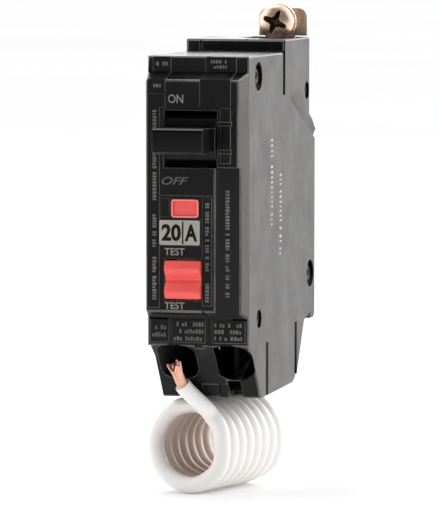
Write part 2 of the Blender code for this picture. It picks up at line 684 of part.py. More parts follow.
def electronics(finishes):
    board, ferrite, copper, steel, blue, black, amber, tan = finishes
    solid("circuit_board", board, block((9.6, 10.8), (8.0, 41.0), (28.0, 56.0)))
    ring_centre = Vector((0.0, 46.8, 30.0))
    solid("sense_transformer", ferrite, washer(ring_centre + ACROSS * 3.5, ACROSS, 2.3, 7.0, 3.4))
    solid("neutral_transformer", amber, washer(ring_centre + ACROSS * 6.2, ACROSS, 2.3, 7.0, 3.4))

    axis = Vector((6.2, 0.0, 44.0))
    solid("solenoid_coil", copper, washer(axis + BACK * 24.5, BACK, 11.0, 2.85, 1.8, 20))
    frame = [(23.2, 40.8), (24.2, 40.8), (24.2, 47.2), (35.8, 47.2), (35.8, 40.8), (36.8, 40.8),
             (36.8, 48.2), (23.2, 48.2)]
    bore = rod(axis + BACK * 20.0, BACK, 20.0, 1.8, 14)
    solid("solenoid_frame", steel, prism(frame, 3.4, 9.1), [("cut", bore)])
    plunger = turned(
        [(0.0, 26.0), (1.4, 26.0), (1.4, 43.2), (2.5, 43.2), (2.5, 44.0), (1.4, 44.0),
         (1.4, 46.2), (0.0, 46.2)],
        axis, BACK, 14,
    )
    solid("solenoid_plunger", steel, plunger, origin=axis + BACK * 46.2)
    cord("plunger_spring", steel, helix(1.95, 1.05, 5, axis + BACK * 37.4, BACK, 0.0, 8), 0.22, 1)

    solid("varistor", blue, rod(Vector((5.9, 13.6, 51.4)), ACROSS, 3.4, 3.4, 18))
    solid("filter_capacitor", amber, block((4.8, 9.3), (10.0, 17.0), (38.0, 43.6)))
    solid("control_chip", black, block((6.3, 9.3), (27.0, 36.4), (30.2, 36.2)))
    outline = [(17.9, 33.0), (22.3, 33.0), (22.3, 35.0), (21.2, 36.4), (19.0, 36.4), (17.9, 35.0)]
    solid("thyristor", black, prism(outline, 4.8, 9.3))
    for number, (y, z) in enumerate(((21.0, 49.6), (25.6, 49.6), (12.6, 29.8)), 1):
        solid(f"resistor_{number}", tan, rod(Vector((8.0, y, z)), UP, 5.6, 1.1, 10))


def inner_wires(copper_wire, white_wire):
    """The two supply wires, which both pass through the transformers."""
    hot = [
        (-1.4, 53.2, 24.6), (-1.2, 51.8, 21.4), (-0.9, 48.8, 21.4), (-0.7, 47.0, 24.6),
        (0.2, 46.8, 27.8), (2.6, 46.8, 28.8), (5.8, 46.8, 28.8), (8.4, 46.6, 28.5),
        (9.9, 45.4, 26.6), (10.0, 42.0, 20.6), (8.6, 36.0, 16.0), (5.0, 31.0, 15.0),
        (1.7, 28.0, 15.0), (-1.6, 26.4, 16.8), (-3.2, 25.0, 20.0), (-3.4, 23.4, 22.3),
    ]
    cord("load_wire", copper_wire, smooth(hot, 40), 0.8, 1)
    neutral = [
        (10.2, 23.6, 22.8), (10.2, 26.0, 22.0), (10.1, 34.0, 22.6), (10.1, 41.6, 26.4),
        (9.9, 45.6, 30.6), (8.6, 46.8, 31.4), (5.8, 46.8, 31.4), (2.6, 46.8, 31.4),
        (0.4, 46.0, 31.0), (-0.4, 43.8, 28.0), (-0.8, 43.0, 21.0), (-2.6, 42.6, 15.6),
        (-5.0, 43.6, 13.8), (-6.0, 44.8, 13.1),
    ]
    cord("neutral_wire", white_wire, smooth(neutral, 34), 0.8, 1)


# ---------------------------------------------------------------- the neutral lead

def coil_directions():
    along = Vector((math.sin(COIL_YAW), math.cos(COIL_YAW), 0.0))
    sideways = Vector((math.cos(COIL_YAW), -math.sin(COIL_YAW), 0.0))
    return along, sideways


def pigtail(white, copper):
    along, sideways = coil_directions()
    length = COIL_TURNS * COIL_PITCH + 2 * WIRE_RADIUS
    ring = washer(COIL_FRONT, along, length, COIL_RADIUS + WIRE_RADIUS,
                  COIL_RADIUS - WIRE_RADIUS, 32)
    solid("pigtail_coil", white, ring)

    back = COIL_FRONT + along * (length + GAP + WIRE_RADIUS)
    rear = [
        LEAD_EXIT - REAR_NORMAL * 4.0, LEAD_EXIT, LEAD_EXIT + REAR_NORMAL * 2.6,
        Vector((-7.2, 56.4, 4.2)), Vector((-9.4, 58.2, -2.6)), Vector((-11.4, 58.0, -9.6)),
        Vector((-11.9, 56.4, -15.6)), Vector((-9.6, 54.2, -20.2)),
        back - UP * COIL_RADIUS - sideways * 3.6 + along * 0.9, back - UP * COIL_RADIUS,
    ]
    cord("pigtail_rear", white, smooth(rear, 20), WIRE_RADIUS, 2)
    front = [
        (-1.0, 10.7, -2.5), (-2.3, 9.3, -0.9), (-3.7, 8.1, 0.7), (-4.8, 7.0, 2.1),
        (-5.6, 6.2, 3.4),
    ]
    cord("pigtail_front", white, smooth(front, 7), WIRE_RADIUS, 2)
    tip = [(-5.8, 5.9, 3.9), (-6.3, 4.5, 6.2), (-6.9, 2.8, 9.0)]
    cord("pigtail_conductor", copper, smooth(tip, 4), 1.4, 2)


# ---------------------------------------------------------------- the whole breaker

def build():
    for old in list(bpy.data.objects):
        bpy.data.objects.remove(old, do_unlink=True)

    black = material("moulded_black", (0.030, 0.028, 0.027), 0.42)
    handle_black = material("handle_black", (0.022, 0.021, 0.021), 0.38)
    fibre = material("fibre_board", (0.16, 0.11, 0.07), 0.7)
    tinned = material("tinned_copper", (0.62, 0.60, 0.56), 0.35, 1.0)
    gold = material("yellow_zinc", (0.72, 0.56, 0.36), 0.30, 1.0)
    steel = material("bright_steel", (0.55, 0.55, 0.55), 0.35, 1.0)
    copper = material("copper", (0.72, 0.38, 0.24), 0.35, 1.0)
    silver = material("contact_silver", (0.80, 0.79, 0.76), 0.3, 1.0)
    bimetal = material("bimetal", (0.48, 0.46, 0.42), 0.4, 1.0)
    brass = material("brass", (0.70, 0.56, 0.28), 0.35, 1.0)
    red = material("red_plastic", (0.80, 0.06, 0.05), 0.35)
    flag_red = material("flag_red", (0.85, 0.07, 0.05), 0.5)
    clear = material("clear_lens", (0.85, 0.80, 0.80), 0.1)
    label = material("label_grey", (0.33, 0.31, 0.27), 0.5)
    board = material("board_green", (0.04, 0.20, 0.09), 0.5)
    ferrite = material("ferrite", (0.07, 0.07, 0.075), 0.6)
    blue = material("varistor_blue", (0.05, 0.16, 0.42), 0.4)
    chip = material("chip_black", (0.02, 0.02, 0.022), 0.5)
    amber = material("film_amber", (0.50, 0.27, 0.06), 0.45)
    tan = material("resistor_tan", (0.60, 0.45, 0.28), 0.5)
    white = material("white_insulation", (0.84, 0.83, 0.81), 0.45)

    case_base(black)
    case_cover(black)
    case_barrier(fibre)
    rivets(steel)
    line_strap(tinned)
    line_screw(gold)
    line_washers(gold, steel)
    handle(handle_black)
    contacts(copper, silver, steel)
    trip_mechanism(steel, bimetal, brass)
    arc_plates(steel)
    braid(copper)
    test_rocker(red)
    test_spring(brass)
    trip_flag(flag_red)
    flag_lens(clear)
    rating_label(label)
    terminal("load", LOAD_X, gold, brass)
    terminal("neutral", NEUTRAL_X, gold, brass)
    electronics((board, ferrite, copper, steel, blue, chip, amber, tan))
    inner_wires(copper, white)
    pigtail(white, copper)


build()
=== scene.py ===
"""Looks of the one-pole ground-fault breaker: materials, marks, fasteners and the neutral lead."""

import json
import math

import bmesh
import bpy
from mathutils import Matrix, Vector


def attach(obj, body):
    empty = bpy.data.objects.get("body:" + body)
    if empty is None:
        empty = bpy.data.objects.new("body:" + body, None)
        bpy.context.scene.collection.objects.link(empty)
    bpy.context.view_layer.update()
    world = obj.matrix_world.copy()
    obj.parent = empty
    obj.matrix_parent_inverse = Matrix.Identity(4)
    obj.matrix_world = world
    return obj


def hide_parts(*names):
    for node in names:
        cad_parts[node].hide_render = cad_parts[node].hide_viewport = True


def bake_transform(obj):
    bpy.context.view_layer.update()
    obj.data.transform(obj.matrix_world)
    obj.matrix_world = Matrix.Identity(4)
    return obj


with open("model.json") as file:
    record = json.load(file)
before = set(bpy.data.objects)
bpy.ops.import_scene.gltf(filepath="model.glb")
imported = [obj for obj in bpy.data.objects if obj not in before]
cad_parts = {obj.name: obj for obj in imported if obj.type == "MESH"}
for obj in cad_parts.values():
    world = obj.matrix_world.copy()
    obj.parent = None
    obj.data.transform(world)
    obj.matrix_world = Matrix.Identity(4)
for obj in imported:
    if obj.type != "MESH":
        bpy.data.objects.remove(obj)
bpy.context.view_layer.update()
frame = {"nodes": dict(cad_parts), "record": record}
NODES = frame["nodes"]

MM = 0.001
ORIGIN = Vector((6.2, 59.3, 85.0))  # the row frame's origin in case millimetres
ACROSS, BACK, UP = Vector((1, 0, 0)), Vector((0, 1, 0)), Vector((0, 0, 1))
NOSE_FRONT = -5.4
SEAM_X = 2.75  # where the two halves of the case meet, seen from the front
SIDE_X = 12.7  # the case's right side

# The neutral lead, as the CAD has it, in case millimetres.
WIRE_RADIUS, COIL_RADIUS, COIL_PITCH, COIL_TURNS = 2.05, 9.95, 4.2, 7.375
COIL_FRONT = Vector((-7.45, 13.3, -12.35))
COIL_YAW = math.radians(11.5)
COIL_ALONG = Vector((math.sin(COIL_YAW), math.cos(COIL_YAW), 0.0))
COIL_SIDE = Vector((math.cos(COIL_YAW), -math.sin(COIL_YAW), 0.0))
LEAD_EXIT = Vector((-6.0, 51.0, 9.6))
REAR_SLANT = Vector((0.0, 7.1, 12.7)).normalized()
REAR_NORMAL = Vector((0.0, REAR_SLANT.z, -REAR_SLANT.y))


def at(x, y=None, z=None):
    """A place in case millimetres, as a point of the row frame in metres."""
    point = Vector(x) if y is None else Vector((x, y, z))
    return (point - ORIGIN) * MM


# ---------------------------------------------------------------- camera

AZIMUTH, ELEVATION, ROLL = 15.10, 3.81, 0.08
DISTANCE, FOCAL_PIXELS = 1.5, 6096.0
PHOTO_HEIGHT, SENSOR = 512, 36.0
TARGET = at(-1.38, 25.0, 33.70)


def make_camera():
    """A long lens at the photograph's viewing angle."""
    azimuth, elevation = math.radians(AZIMUTH), math.radians(ELEVATION)
    back = Vector((
        math.sin(azimuth) * math.cos(elevation), -math.cos(azimuth) * math.cos(elevation),
        math.sin(elevation),
    ))
    data = bpy.data.cameras.new("camera")
    data.sensor_width = SENSOR
    data.lens = FOCAL_PIXELS / PHOTO_HEIGHT * SENSOR
    data.clip_start, data.clip_end = 0.05, 100.0
    camera = bpy.data.objects.new("camera", data)
    bpy.context.scene.collection.objects.link(camera)
    camera.location = TARGET + back * DISTANCE
    camera.rotation_mode = "QUATERNION"
    turn = Matrix.Rotation(math.radians(ROLL), 4, "Z")
    camera.rotation_quaternion = (
        ((-back).to_track_quat("-Z", "Y").to_matrix().to_4x4() @ turn).to_quaternion()
    )
    bpy.context.scene.camera = camera


make_camera()

# ---------------------------------------------------------------- materials


class Nodes:
    """A short way to write a procedural material."""

    def __init__(self, name):
        self.material = bpy.data.materials.new(name)
        self.material.use_nodes = True
        self.tree = self.material.node_tree
        self.shader = self.tree.nodes["Principled BSDF"]
        self.place = self.node("ShaderNodeTexCoord").outputs["Object"]

    def node(self, kind, **settings):
        """Adds one node."""
        made = self.tree.nodes.new(kind)
        for key, value in settings.items():
            setattr(made, key, value)
        return made

    def link(self, source, target):
        self.tree.links.new(source, target)

    def noise(self, size, detail=3.0, roughness=0.5, stretch=(1, 1, 1), distortion=0.0):
        """Noise whose lumps are size millimetres across."""
        mapping = self.node("ShaderNodeMapping")
        mapping.inputs["Scale"].default_value = [1000.0 / size / s for s in stretch]
        self.link(self.place, mapping.inputs["Vector"])
        noise = self.node("ShaderNodeTexNoise")
        noise.inputs["Scale"].default_value = 1.0
        noise.inputs["Detail"].default_value = detail
        noise.inputs["Roughness"].default_value = roughness
        noise.inputs["Distortion"].default_value = distortion
        self.link(mapping.outputs["Vector"], noise.inputs["Vector"])
        return noise.outputs["Fac"]

    def ramp(self, source, stops):
        """Colours a value by stops of (position, colour)."""
        ramp = self.node("ShaderNodeValToRGB")
        band = ramp.color_ramp
        while len(band.elements) < len(stops):
            band.elements.new(0.5)
        for element, (position, colour) in zip(band.elements, stops):
            element.position = position
            element.color = (*colour, 1.0)
        self.link(source, ramp.inputs["Fac"])
        return ramp.outputs["Color"]

    def spread(self, source, low, high, start=0.3, end=0.7):
        """Turns the values from start to end into values from low to high."""
        remap = self.node("ShaderNodeMapRange")
        remap.inputs["From Min"].default_value = start
        remap.inputs["From Max"].default_value = end
        remap.inputs["To Min"].default_value = low
        remap.inputs["To Max"].default_value = high
        self.link(source, remap.inputs["Value"])
        return remap.outputs["Result"]

    def bump(self, source, depth, strength=1.0, after=None):
        """Adds a bump depth millimetres tall to the surface."""
        bump = self.node("ShaderNodeBump")
        bump.inputs["Strength"].default_value = strength
        bump.inputs["Distance"].default_value = depth * MM
        self.link(source, bump.inputs["Height"])
        if after is not None:
            self.link(after, bump.inputs["Normal"])
        self.link(bump.outputs["Normal"], self.shader.inputs["Normal"])
        return bump.outputs["Normal"]

    def vector(self, kind, first, second=None):
        """One sum of a vector socket with a second socket or a plain vector."""
        made = self.node("ShaderNodeVectorMath", operation=kind)
        self.link(first, made.inputs[0])
        if isinstance(second, Vector):
            made.inputs[1].default_value = second
        elif second is not None:
            self.link(second, made.inputs[1])
        return made.outputs["Value" if kind in ("LENGTH", "DOT_PRODUCT") else "Vector"]

    def maths(self, kind, first, second):
        """One sum of two values, each a socket or a number."""
        made = self.node("ShaderNodeMath", operation=kind)
        for socket, value in zip(made.inputs, (first, second)):
            if isinstance(value, (int, float)):
                socket.default_value = value
            else:
                self.link(value, socket)
        return made.outputs["Value"]

    def mix(self, factor, source, colour):
        """Goes from a colour socket to a plain colour."""
        made = self.node("ShaderNodeMix", data_type="RGBA")
        share, start, end = made.inputs[0], made.inputs[6], made.inputs[7]  # those for colours
        self.link(factor, share)
        self.link(source, start)
        end.default_value = (*colour, 1.0)
        return made.outputs[2]

    def facing(self, axis):
        """The part of the surface's direction that lies along X, Y or Z."""
        split = self.node("ShaderNodeSeparateXYZ")
        self.link(self.node("ShaderNodeNewGeometry").outputs["Normal"], split.inputs["Vector"])
        return split.outputs[axis]

    def dust_cover(self):
        """How much dust and scuffing lies on a surface: most where it faces up."""
        up = self.spread(self.facing("Z"), 0.0, 1.0, 0.965, 0.995)
        patches = self.spread(self.noise(5.0, 5.0, 0.65, (1, 3, 1)), 0.35, 1.0, 0.32, 0.62)
        scuffs = self.spread(self.noise(0.8, 4.0, 0.7, (1, 6, 1)), 0.0, 0.03, 0.58, 0.75)
        return self.maths("ADD", self.maths("MULTIPLY", up, patches), scuffs)

    def sheen_and_matt_sides(self):
        """One where a surface faces left or right, where the mould was left dull; there a lighter
        colour also paints a sheen.
        """
        return self.spread(self.maths("ABSOLUTE", self.facing("X"), 0.0), 0.0, 1.0, 0.75, 0.97)

    def set(self, **values):
        """Sets values that are the same all over the surface."""
        for key, value in values.items():
            self.shader.inputs[key.replace("_", " ")].default_value = value


# The colour is a painted sheen for faces that turn left or right; the number makes them rougher.
SIDE_SHEEN_COLOUR, MATT_ROUGHER = (0.066, 0.063, 0.0615), 0.17


def shade(colour, factor):
    """A lighter or darker colour."""
    return tuple(min(1.0, c * factor) for c in colour)


def plastic(name, colour, roughness, vary=0.12, grain=0.35, depth=0.012, sheen=0.06, dust=None,
            **more):
    """Moulded plastic: a fine grain and slow waves of gloss. With dust it is also dusty where
    it faces up, and duller where it faces sideways, with a lighter colour there that paints a sheen."""
    n = Nodes(name)
    slow, fine = n.noise(9.0, 4.0, 0.6), n.noise(grain, 2.0, 0.6)
    tint = n.ramp(slow, [(0.3, shade(colour, 1 - vary)), (0.7, shade(colour, 1 + vary))])
    gloss = n.spread(slow, roughness - sheen, roughness + sheen)
    if dust:
        # Painted sheen: faces that turn sideways get a lighter colour, and more roughness.
        side_sheen_and_matt = n.sheen_and_matt_sides()
        tint = n.mix(n.dust_cover(), n.mix(side_sheen_and_matt, tint, SIDE_SHEEN_COLOUR), dust)
        gloss = n.maths("ADD", gloss, n.maths("MULTIPLY", side_sheen_and_matt, MATT_ROUGHER))
    n.link(tint, n.shader.inputs["Base Color"])
    n.link(gloss, n.shader.inputs["Roughness"])
    waves = n.bump(n.noise(6.0, 2.0, 0.5), 0.05, 0.35)
    n.bump(fine, depth, 0.8, waves)
    n.set(**more)
    return n.material


def metal(name, colour, roughness, vary=0.12, stretch=(1, 1, 1), grain=0.25, depth=0.006, **more):
    """Plated or rolled metal: fine drawn lines, soft stains and small dents."""
    n = Nodes(name)
    stains, lines = n.noise(2.5, 5.0, 0.65), n.noise(grain, 3.0, 0.6, stretch)
    n.link(
        n.ramp(stains, [(0.32, shade(colour, 1 - vary)), (0.68, shade(colour, 1 + vary))]),
        n.shader.inputs["Base Color"],
    )
    n.link(n.spread(lines, roughness - 0.08, roughness + 0.1), n.shader.inputs["Roughness"])
    dents = n.bump(n.noise(1.3, 3.0, 0.6), 0.02, 0.4)
    n.bump(lines, depth, 0.7, dents)
    n.set(**{"Metallic": 1.0, **more})
    return n.material


def make_materials():
    """One material for each slot of the record, and some for edges (a little wear and a painted
    highlight), marks and recesses.
    """
    m = {}
    m["moulded_black"] = plastic(
        "moulded_black", (0.0035, 0.0031, 0.003), 0.28, 0.3, sheen=0.09, dust=(0.11, 0.11, 0.11),
        IOR=1.28,
    )
    # A lighter colour for rounded edges: a little wear, and a painted highlight along them.
    m["edge_wear_and_highlight"] = plastic("edge_wear_and_highlight", (0.075, 0.073, 0.07), 0.38, 0.6, 0.3, 0.006)
    m["rivet_steel"] = metal("rivet_steel", (0.03, 0.028, 0.026), 0.5, 0.2, (6, 1, 1))
    m["handle_black"] = plastic(
        "handle_black", (0.0025, 0.0022, 0.0025), 0.22, 0.2, 0.3, 0.006, IOR=1.25
    )
    m["fibre_board"] = plastic("fibre_board", (0.16, 0.11, 0.07), 0.75, 0.25, 0.5, 0.03)
    m["tinned_copper"] = metal(
        "tinned_copper", (0.52, 0.47, 0.40), 0.3, 0.14, (1, 1, 9), Metallic=0.92
    )
    m["yellow_zinc"] = metal("yellow_zinc", (0.92, 0.70, 0.54), 0.26, 0.14)
    m["screw_head"] = metal("screw_head", (0.88, 0.62, 0.49), 0.27, 0.16, Metallic=0.88)
    m["screw_recess"] = metal("screw_recess", (0.055, 0.038, 0.016), 0.42, 0.6, Metallic=0.5)
    m["bright_steel"] = metal("bright_steel", (0.56, 0.56, 0.57), 0.33, 0.10, (6, 1, 1))
    m["copper"] = metal("copper", (0.93, 0.53, 0.40), 0.34, 0.16, (1, 1, 6), 0.15, 0.004)
    m["contact_silver"] = metal("contact_silver", (0.82, 0.80, 0.76), 0.36, 0.08)
    m["bimetal"] = metal("bimetal", (0.50, 0.47, 0.43), 0.38, 0.12, (1, 1, 10))
    m["brass"] = metal("brass", (0.76, 0.60, 0.32), 0.33, 0.14, (8, 1, 1))
    m["red_plastic"] = plastic("red_plastic", (0.87, 0.095, 0.085), 0.34, 0.06, 0.3, 0.006)
    m["flag_red"] = plastic("flag_red", (0.95, 0.10, 0.085), 0.5, 0.05, 0.3, 0.006)
    m["clear_lens"] = clear_plastic()
    m["label_grey"] = plastic("label_grey", (0.38, 0.355, 0.31), 0.5, 0.10, 0.2, 0.006)
    m["board_green"] = plastic("board_green", (0.04, 0.20, 0.09), 0.42, 0.2, 0.6, 0.02)
    m["ferrite"] = plastic("ferrite", (0.07, 0.07, 0.075), 0.6, 0.2, 0.25, 0.02)
    m["varistor_blue"] = plastic("varistor_blue", (0.05, 0.16, 0.42), 0.32, 0.15, 1.0, 0.03)
    m["chip_black"] = plastic("chip_black", (0.02, 0.02, 0.022), 0.55, 0.15, 0.15, 0.01)
    m["film_amber"] = plastic("film_amber", (0.50, 0.27, 0.06), 0.4, 0.2, 0.8, 0.02)
    m["resistor_tan"] = plastic("resistor_tan", (0.60, 0.45, 0.28), 0.5, 0.12, 0.3, 0.01)
    m["white_insulation"] = insulation()
    # Painted shade: a very dark zinc colour for the screws that sit deep in the terminal openings.
    m["shaded_zinc"] = metal("shaded_zinc", (0.07, 0.05, 0.03), 0.6, 0.25)
    m["mark_white"] = plastic("mark_white", (0.50, 0.49, 0.46), 0.55, 0.12, 0.2, 0.004)
    m["mark_grey"] = plastic("mark_grey", (0.26, 0.255, 0.25), 0.55, 0.3, 0.25, 0.004)
    m["mark_dim"] = plastic("mark_dim", (0.115, 0.11, 0.105), 0.55, 0.45, 0.3, 0.004)
    m["mark_side"] = plastic("mark_side", (0.42, 0.41, 0.40), 0.55, 0.45, 0.8, 0.004)
    m["window_pink"] = plastic("window_pink", (0.98, 0.23, 0.21), 0.35, 0.05, 0.3, 0.004)
    return m


def clear_plastic():
    """The red-tinted pane over the flag."""
    n = Nodes("clear_lens")
    n.link(n.spread(n.noise(3.0), 0.05, 0.14), n.shader.inputs["Roughness"])
    n.bump(n.noise(2.0, 2.0), 0.01, 0.3)
    n.shader.inputs["Base Color"].default_value = (1.0, 0.12, 0.105, 1.0)
    n.set(IOR=1.4, Alpha=0.85)
    return n.material


def insulation():
    """Vinyl insulation: waxy white, with drawing lines, and a painted shade that turns it brown
    inside the coil.
    """
    n = Nodes("white_insulation")
    marks = n.noise(3.2, 6.0, 0.7)
    tint = n.ramp(marks, [(0.28, (0.83, 0.81, 0.79)), (0.45, (0.89, 0.865, 0.845))])
    # Painted shade: inside the coil, more so further back from its front, the colour goes to a
    # darker brown.
    shift = n.vector("SUBTRACT", n.place, at(COIL_FRONT))
    out = n.vector("SUBTRACT", shift, n.vector("PROJECT", shift, COIL_ALONG))
    inner = n.spread(n.vector("LENGTH", out), 1.0, 0.0, 8.2 * MM, 9.9 * MM)
    deep = n.spread(n.vector("DOT_PRODUCT", shift, COIL_ALONG), 0.0, 1.0, 2.5 * MM, 7.0 * MM)
    coil_inside_shade = n.maths("MULTIPLY", inner, deep)
    n.link(n.mix(coil_inside_shade, tint, (0.64, 0.53, 0.47)), n.shader.inputs["Base Color"])
    n.link(n.spread(marks, 0.36, 0.46), n.shader.inputs["Roughness"])
    n.bump(n.noise(0.5, 2.0, 0.5), 0.01, 0.6, n.bump(n.noise(2.2, 2.0), 0.03, 0.3))
    n.set(Subsurface_Weight=0.12, Subsurface_Scale=0.0012, IOR=1.48)
    n.shader.inputs["Subsurface Radius"].default_value = (1.0, 0.9, 0.8)
    return n.material


MATERIALS = make_materials()

# ---------------------------------------------------------------- mesh helpers


def smooth_path(points, count):
    """Reads count + 1 evenly spaced points from a Catmull-Rom curve through the given ones."""
    points = [Vector(p) for p in points]
    padded = [2 * points[0] - points[1], *points, 2 * points[-1] - points[-2]]
    dense, fine = [], 24
    for i in range(1, len(padded) - 2):
        a, b, c, d = padded[i - 1 : i + 3]
        for step in range(fine):
            t = step / fine
            dense.append(
                0.5 * (2 * b + (c - a) * t + (2 * a - 5 * b + 4 * c - d) * t * t
                       + (3 * b - a - 3 * c + d) * t**3)
            )
    dense.append(points[-1])
    lengths = [0.0]
    for here, there in zip(dense, dense[1:]):
        lengths.append(lengths[-1] + (there - here).length)
    made, k = [], 0
    for i in range(count + 1):
        target = lengths[-1] * i / count
        while k < len(lengths) - 2 and lengths[k + 1] < target:
            k += 1
        share = (target - lengths[k]) / (lengths[k + 1] - lengths[k])
        made.append(dense[k].lerp(dense[k + 1], min(1.0, share)))
    return made


def add(name, data, finish, body="case"):
    """Adds a piece with its finish. It rides a body, or none if it is blended afterwards."""
    made = bpy.data.objects.new(name, data)
    bpy.context.scene.collection.objects.link(made)
    data.materials.append(MATERIALS[finish])
    if body:
        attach(made, body)
    return made


def wire_curve(name, splines, radius, resolution=4):
    """A curve of round wires. splines are lists of points in the row frame."""
    curve = bpy.data.curves.new(name, "CURVE")
    curve.dimensions = "3D"
    curve.bevel_depth = radius
    curve.bevel_resolution = resolution
    curve.use_fill_caps = True
    for points in splines:
        line = curve.splines.new("POLY")
        line.points.add(len(points) - 1)
        for target, point in zip(line.points, points):
            target.co = (*point, 1.0)
        line.use_smooth = True
    return curve


def finish_mesh(name, shape, angle=35):
    """Turns a bmesh in case millimetres into a mesh in the row frame."""
    bmesh.ops.recalc_face_normals(shape, faces=shape.faces)
    shape.transform(Matrix.Scale(MM, 4) @ Matrix.Translation(-ORIGIN))
    mesh = bpy.data.meshes.new(name)
    shape.to_mesh(mesh)
    shape.free()
    mesh.shade_smooth()
    mesh.set_sharp_from_angle(angle=math.radians(angle))
    return mesh


def rounded(half_wide, half_tall, corner, steps=4, centre=(0.0, 0.0)):
    """A rectangle with round corners, counter-clockwise."""
    made = []
    for k, (side, end) in enumerate(((1, 1), (-1, 1), (-1, -1), (1, -1))):
        cu = centre[0] + side * (half_wide - corner)
        cv = centre[1] + end * (half_tall - corner)
        for i in range(steps + 1):
            angle = math.pi / 2 * (k + i / steps)
            made.append((cu + corner * math.cos(angle), cv + corner * math.sin(angle)))
    return made


def front_plate(shape, outline, y_front, y_back, bevel=0.06):
    """Adds a plate that faces forwards, given as (x, z). The bevel round its face has slot 1."""
    rings = []
    inner = shrink(outline, bevel)
    for points, y in ((outline, y_back), (outline, y_front + bevel), (inner, y_front)):
        rings.append([shape.verts.new((u, y, v)) for u, v in points])
    for k, (here, there) in enumerate(zip(rings, rings[1:])):
        for i in range(len(outline)):
            j = (i + 1) % len(outline)
            shape.faces.new((here[i], here[j], there[j], there[i])).material_index = k
    shape.faces.new(rings[0])
    shape.faces.new(list(reversed(rings[-1])))


def shrink(outline, distance):
    """Moves every side of an outline inwards by one distance. The outline turns left."""
    sides = []
    for i, (u, v) in enumerate(outline):
        nu, nv = outline[(i + 1) % len(outline)]
        along = Vector((nu - u, nv - v)).normalized()
        sides.append((Vector((u, v)) + distance * Vector((-along.y, along.x)), along))
    made = []
    for i, (point, along) in enumerate(sides):
        before, heading = sides[i - 1]
        cross = heading.x * along.y - heading.y * along.x
        if abs(cross) < 1e-6:
            made.append(tuple(point))
            continue
        step = point - before
        made.append(tuple(before + heading * ((step.x * along.y - step.y * along.x) / cross)))
    return made


def front_frame(shape, outer, inner, y_front, y_back):
    """Adds a ring that faces forwards between two outlines with the same number of points."""
    loops = [(outer, y_back), (outer, y_front), (inner, y_front), (inner, y_back)]
    rings = [[shape.verts.new((u, y, v)) for u, v in points] for points, y in loops]
    for a in range(4):
        here, there = rings[a], rings[(a + 1) % 4]
        for i in range(len(outer)):
            j = (i + 1) % len(outer)
            shape.faces.new((here[i], here[j], there[j], there[i]))


def turned(shape, profile, start, along, sides=40):
    """Adds a body turned from a profile of (radius, distance) pairs that starts and ends at 0."""
    along = along.normalized()
    first = along.orthogonal().normalized()
    second = along.cross(first)
    rings = []
    for i in range(sides):
        angle = 2 * math.pi * i / sides
        out = first * math.cos(angle) + second * math.sin(angle)
        rings.append([shape.verts.new(start + along * s + out * r) for r, s in profile])
    for i in range(sides):
        here, there = rings[i], rings[(i + 1) % sides]
        for a in range(len(profile) - 1):
            shape.faces.new((here[a], here[a + 1], there[a + 1], there[a]))
    bmesh.ops.remove_doubles(shape, verts=shape.verts, dist=0.0005)


# ---------------------------------------------------------------- the neutral lead

BARE_START = (-5.6, 6.2, 3.4)
STRAND_RADIUS, STRAND_STEPS = 0.28, 20
SLEEVE_LENGTH = 4.6


def coil_point(turn, reach, radius=COIL_RADIUS):
    """A place on the coil, by the turn round its axis and the reach along it."""
    angle = 2 * math.pi * turn
    out = COIL_SIDE * math.cos(angle) + UP * math.sin(angle)
    return COIL_FRONT + COIL_ALONG * reach + out * radius


def lead_route():
    """From inside the case, round the coil from its back to its front, and up to the bare end."""
    back = COIL_TURNS * COIL_PITCH + WIRE_RADIUS
    rear = [
        LEAD_EXIT - REAR_NORMAL * 4.0, LEAD_EXIT, LEAD_EXIT + REAR_NORMAL * 2.6,
        (-7.2, 56.4, 4.2), (-9.4, 58.2, -2.6), (-11.4, 58.0, -9.6), (-11.9, 56.4, -15.6),
        (-9.6, 53.8, -20.2), coil_point(-0.335, back + 2.6, COIL_RADIUS + 0.2),
    ]
    per_turn = 28
    count = int(COIL_TURNS * per_turn)
    coil = []
    for i in range(count + 1):
        turn = COIL_TURNS * i / count
        sway = 0.10 * math.sin(2.1 * turn + 0.6) * min(1.0, turn, COIL_TURNS - turn)
        coil.append(coil_point(turn - 0.25, back - COIL_PITCH * turn + sway * 0.4))
    front = [
        (-0.5, 12.9, -4.0), (-1.3, 10.8, -2.4), (-2.4, 9.3, -0.8), (-3.7, 8.1, 0.7),
        (-4.8, 7.0, 2.1), BARE_START,
    ]
    joined = smooth_path(rear + coil[:: per_turn // 7] + front, 330)
    return [at(p) for p in joined]


def lead_sleeve():
    """The dark sleeve on the lead's inner end, with a groove round it."""
    shape = bmesh.new()
    profile = [
        (0.0, 0.0), (1.3, 0.0), (2.05, 0.25), (2.38, 0.8), (2.38, 1.7), (2.26, 2.0), (2.38, 2.3),
        (2.38, SLEEVE_LENGTH - 0.2), (2.2, SLEEVE_LENGTH), (0.0, SLEEVE_LENGTH),
    ]
    turned(shape, profile, LEAD_EXIT - REAR_NORMAL * SLEEVE_LENGTH, REAR_NORMAL, 28)
    add("lead_sleeve", finish_mesh("lead_sleeve", shape), "handle_black")


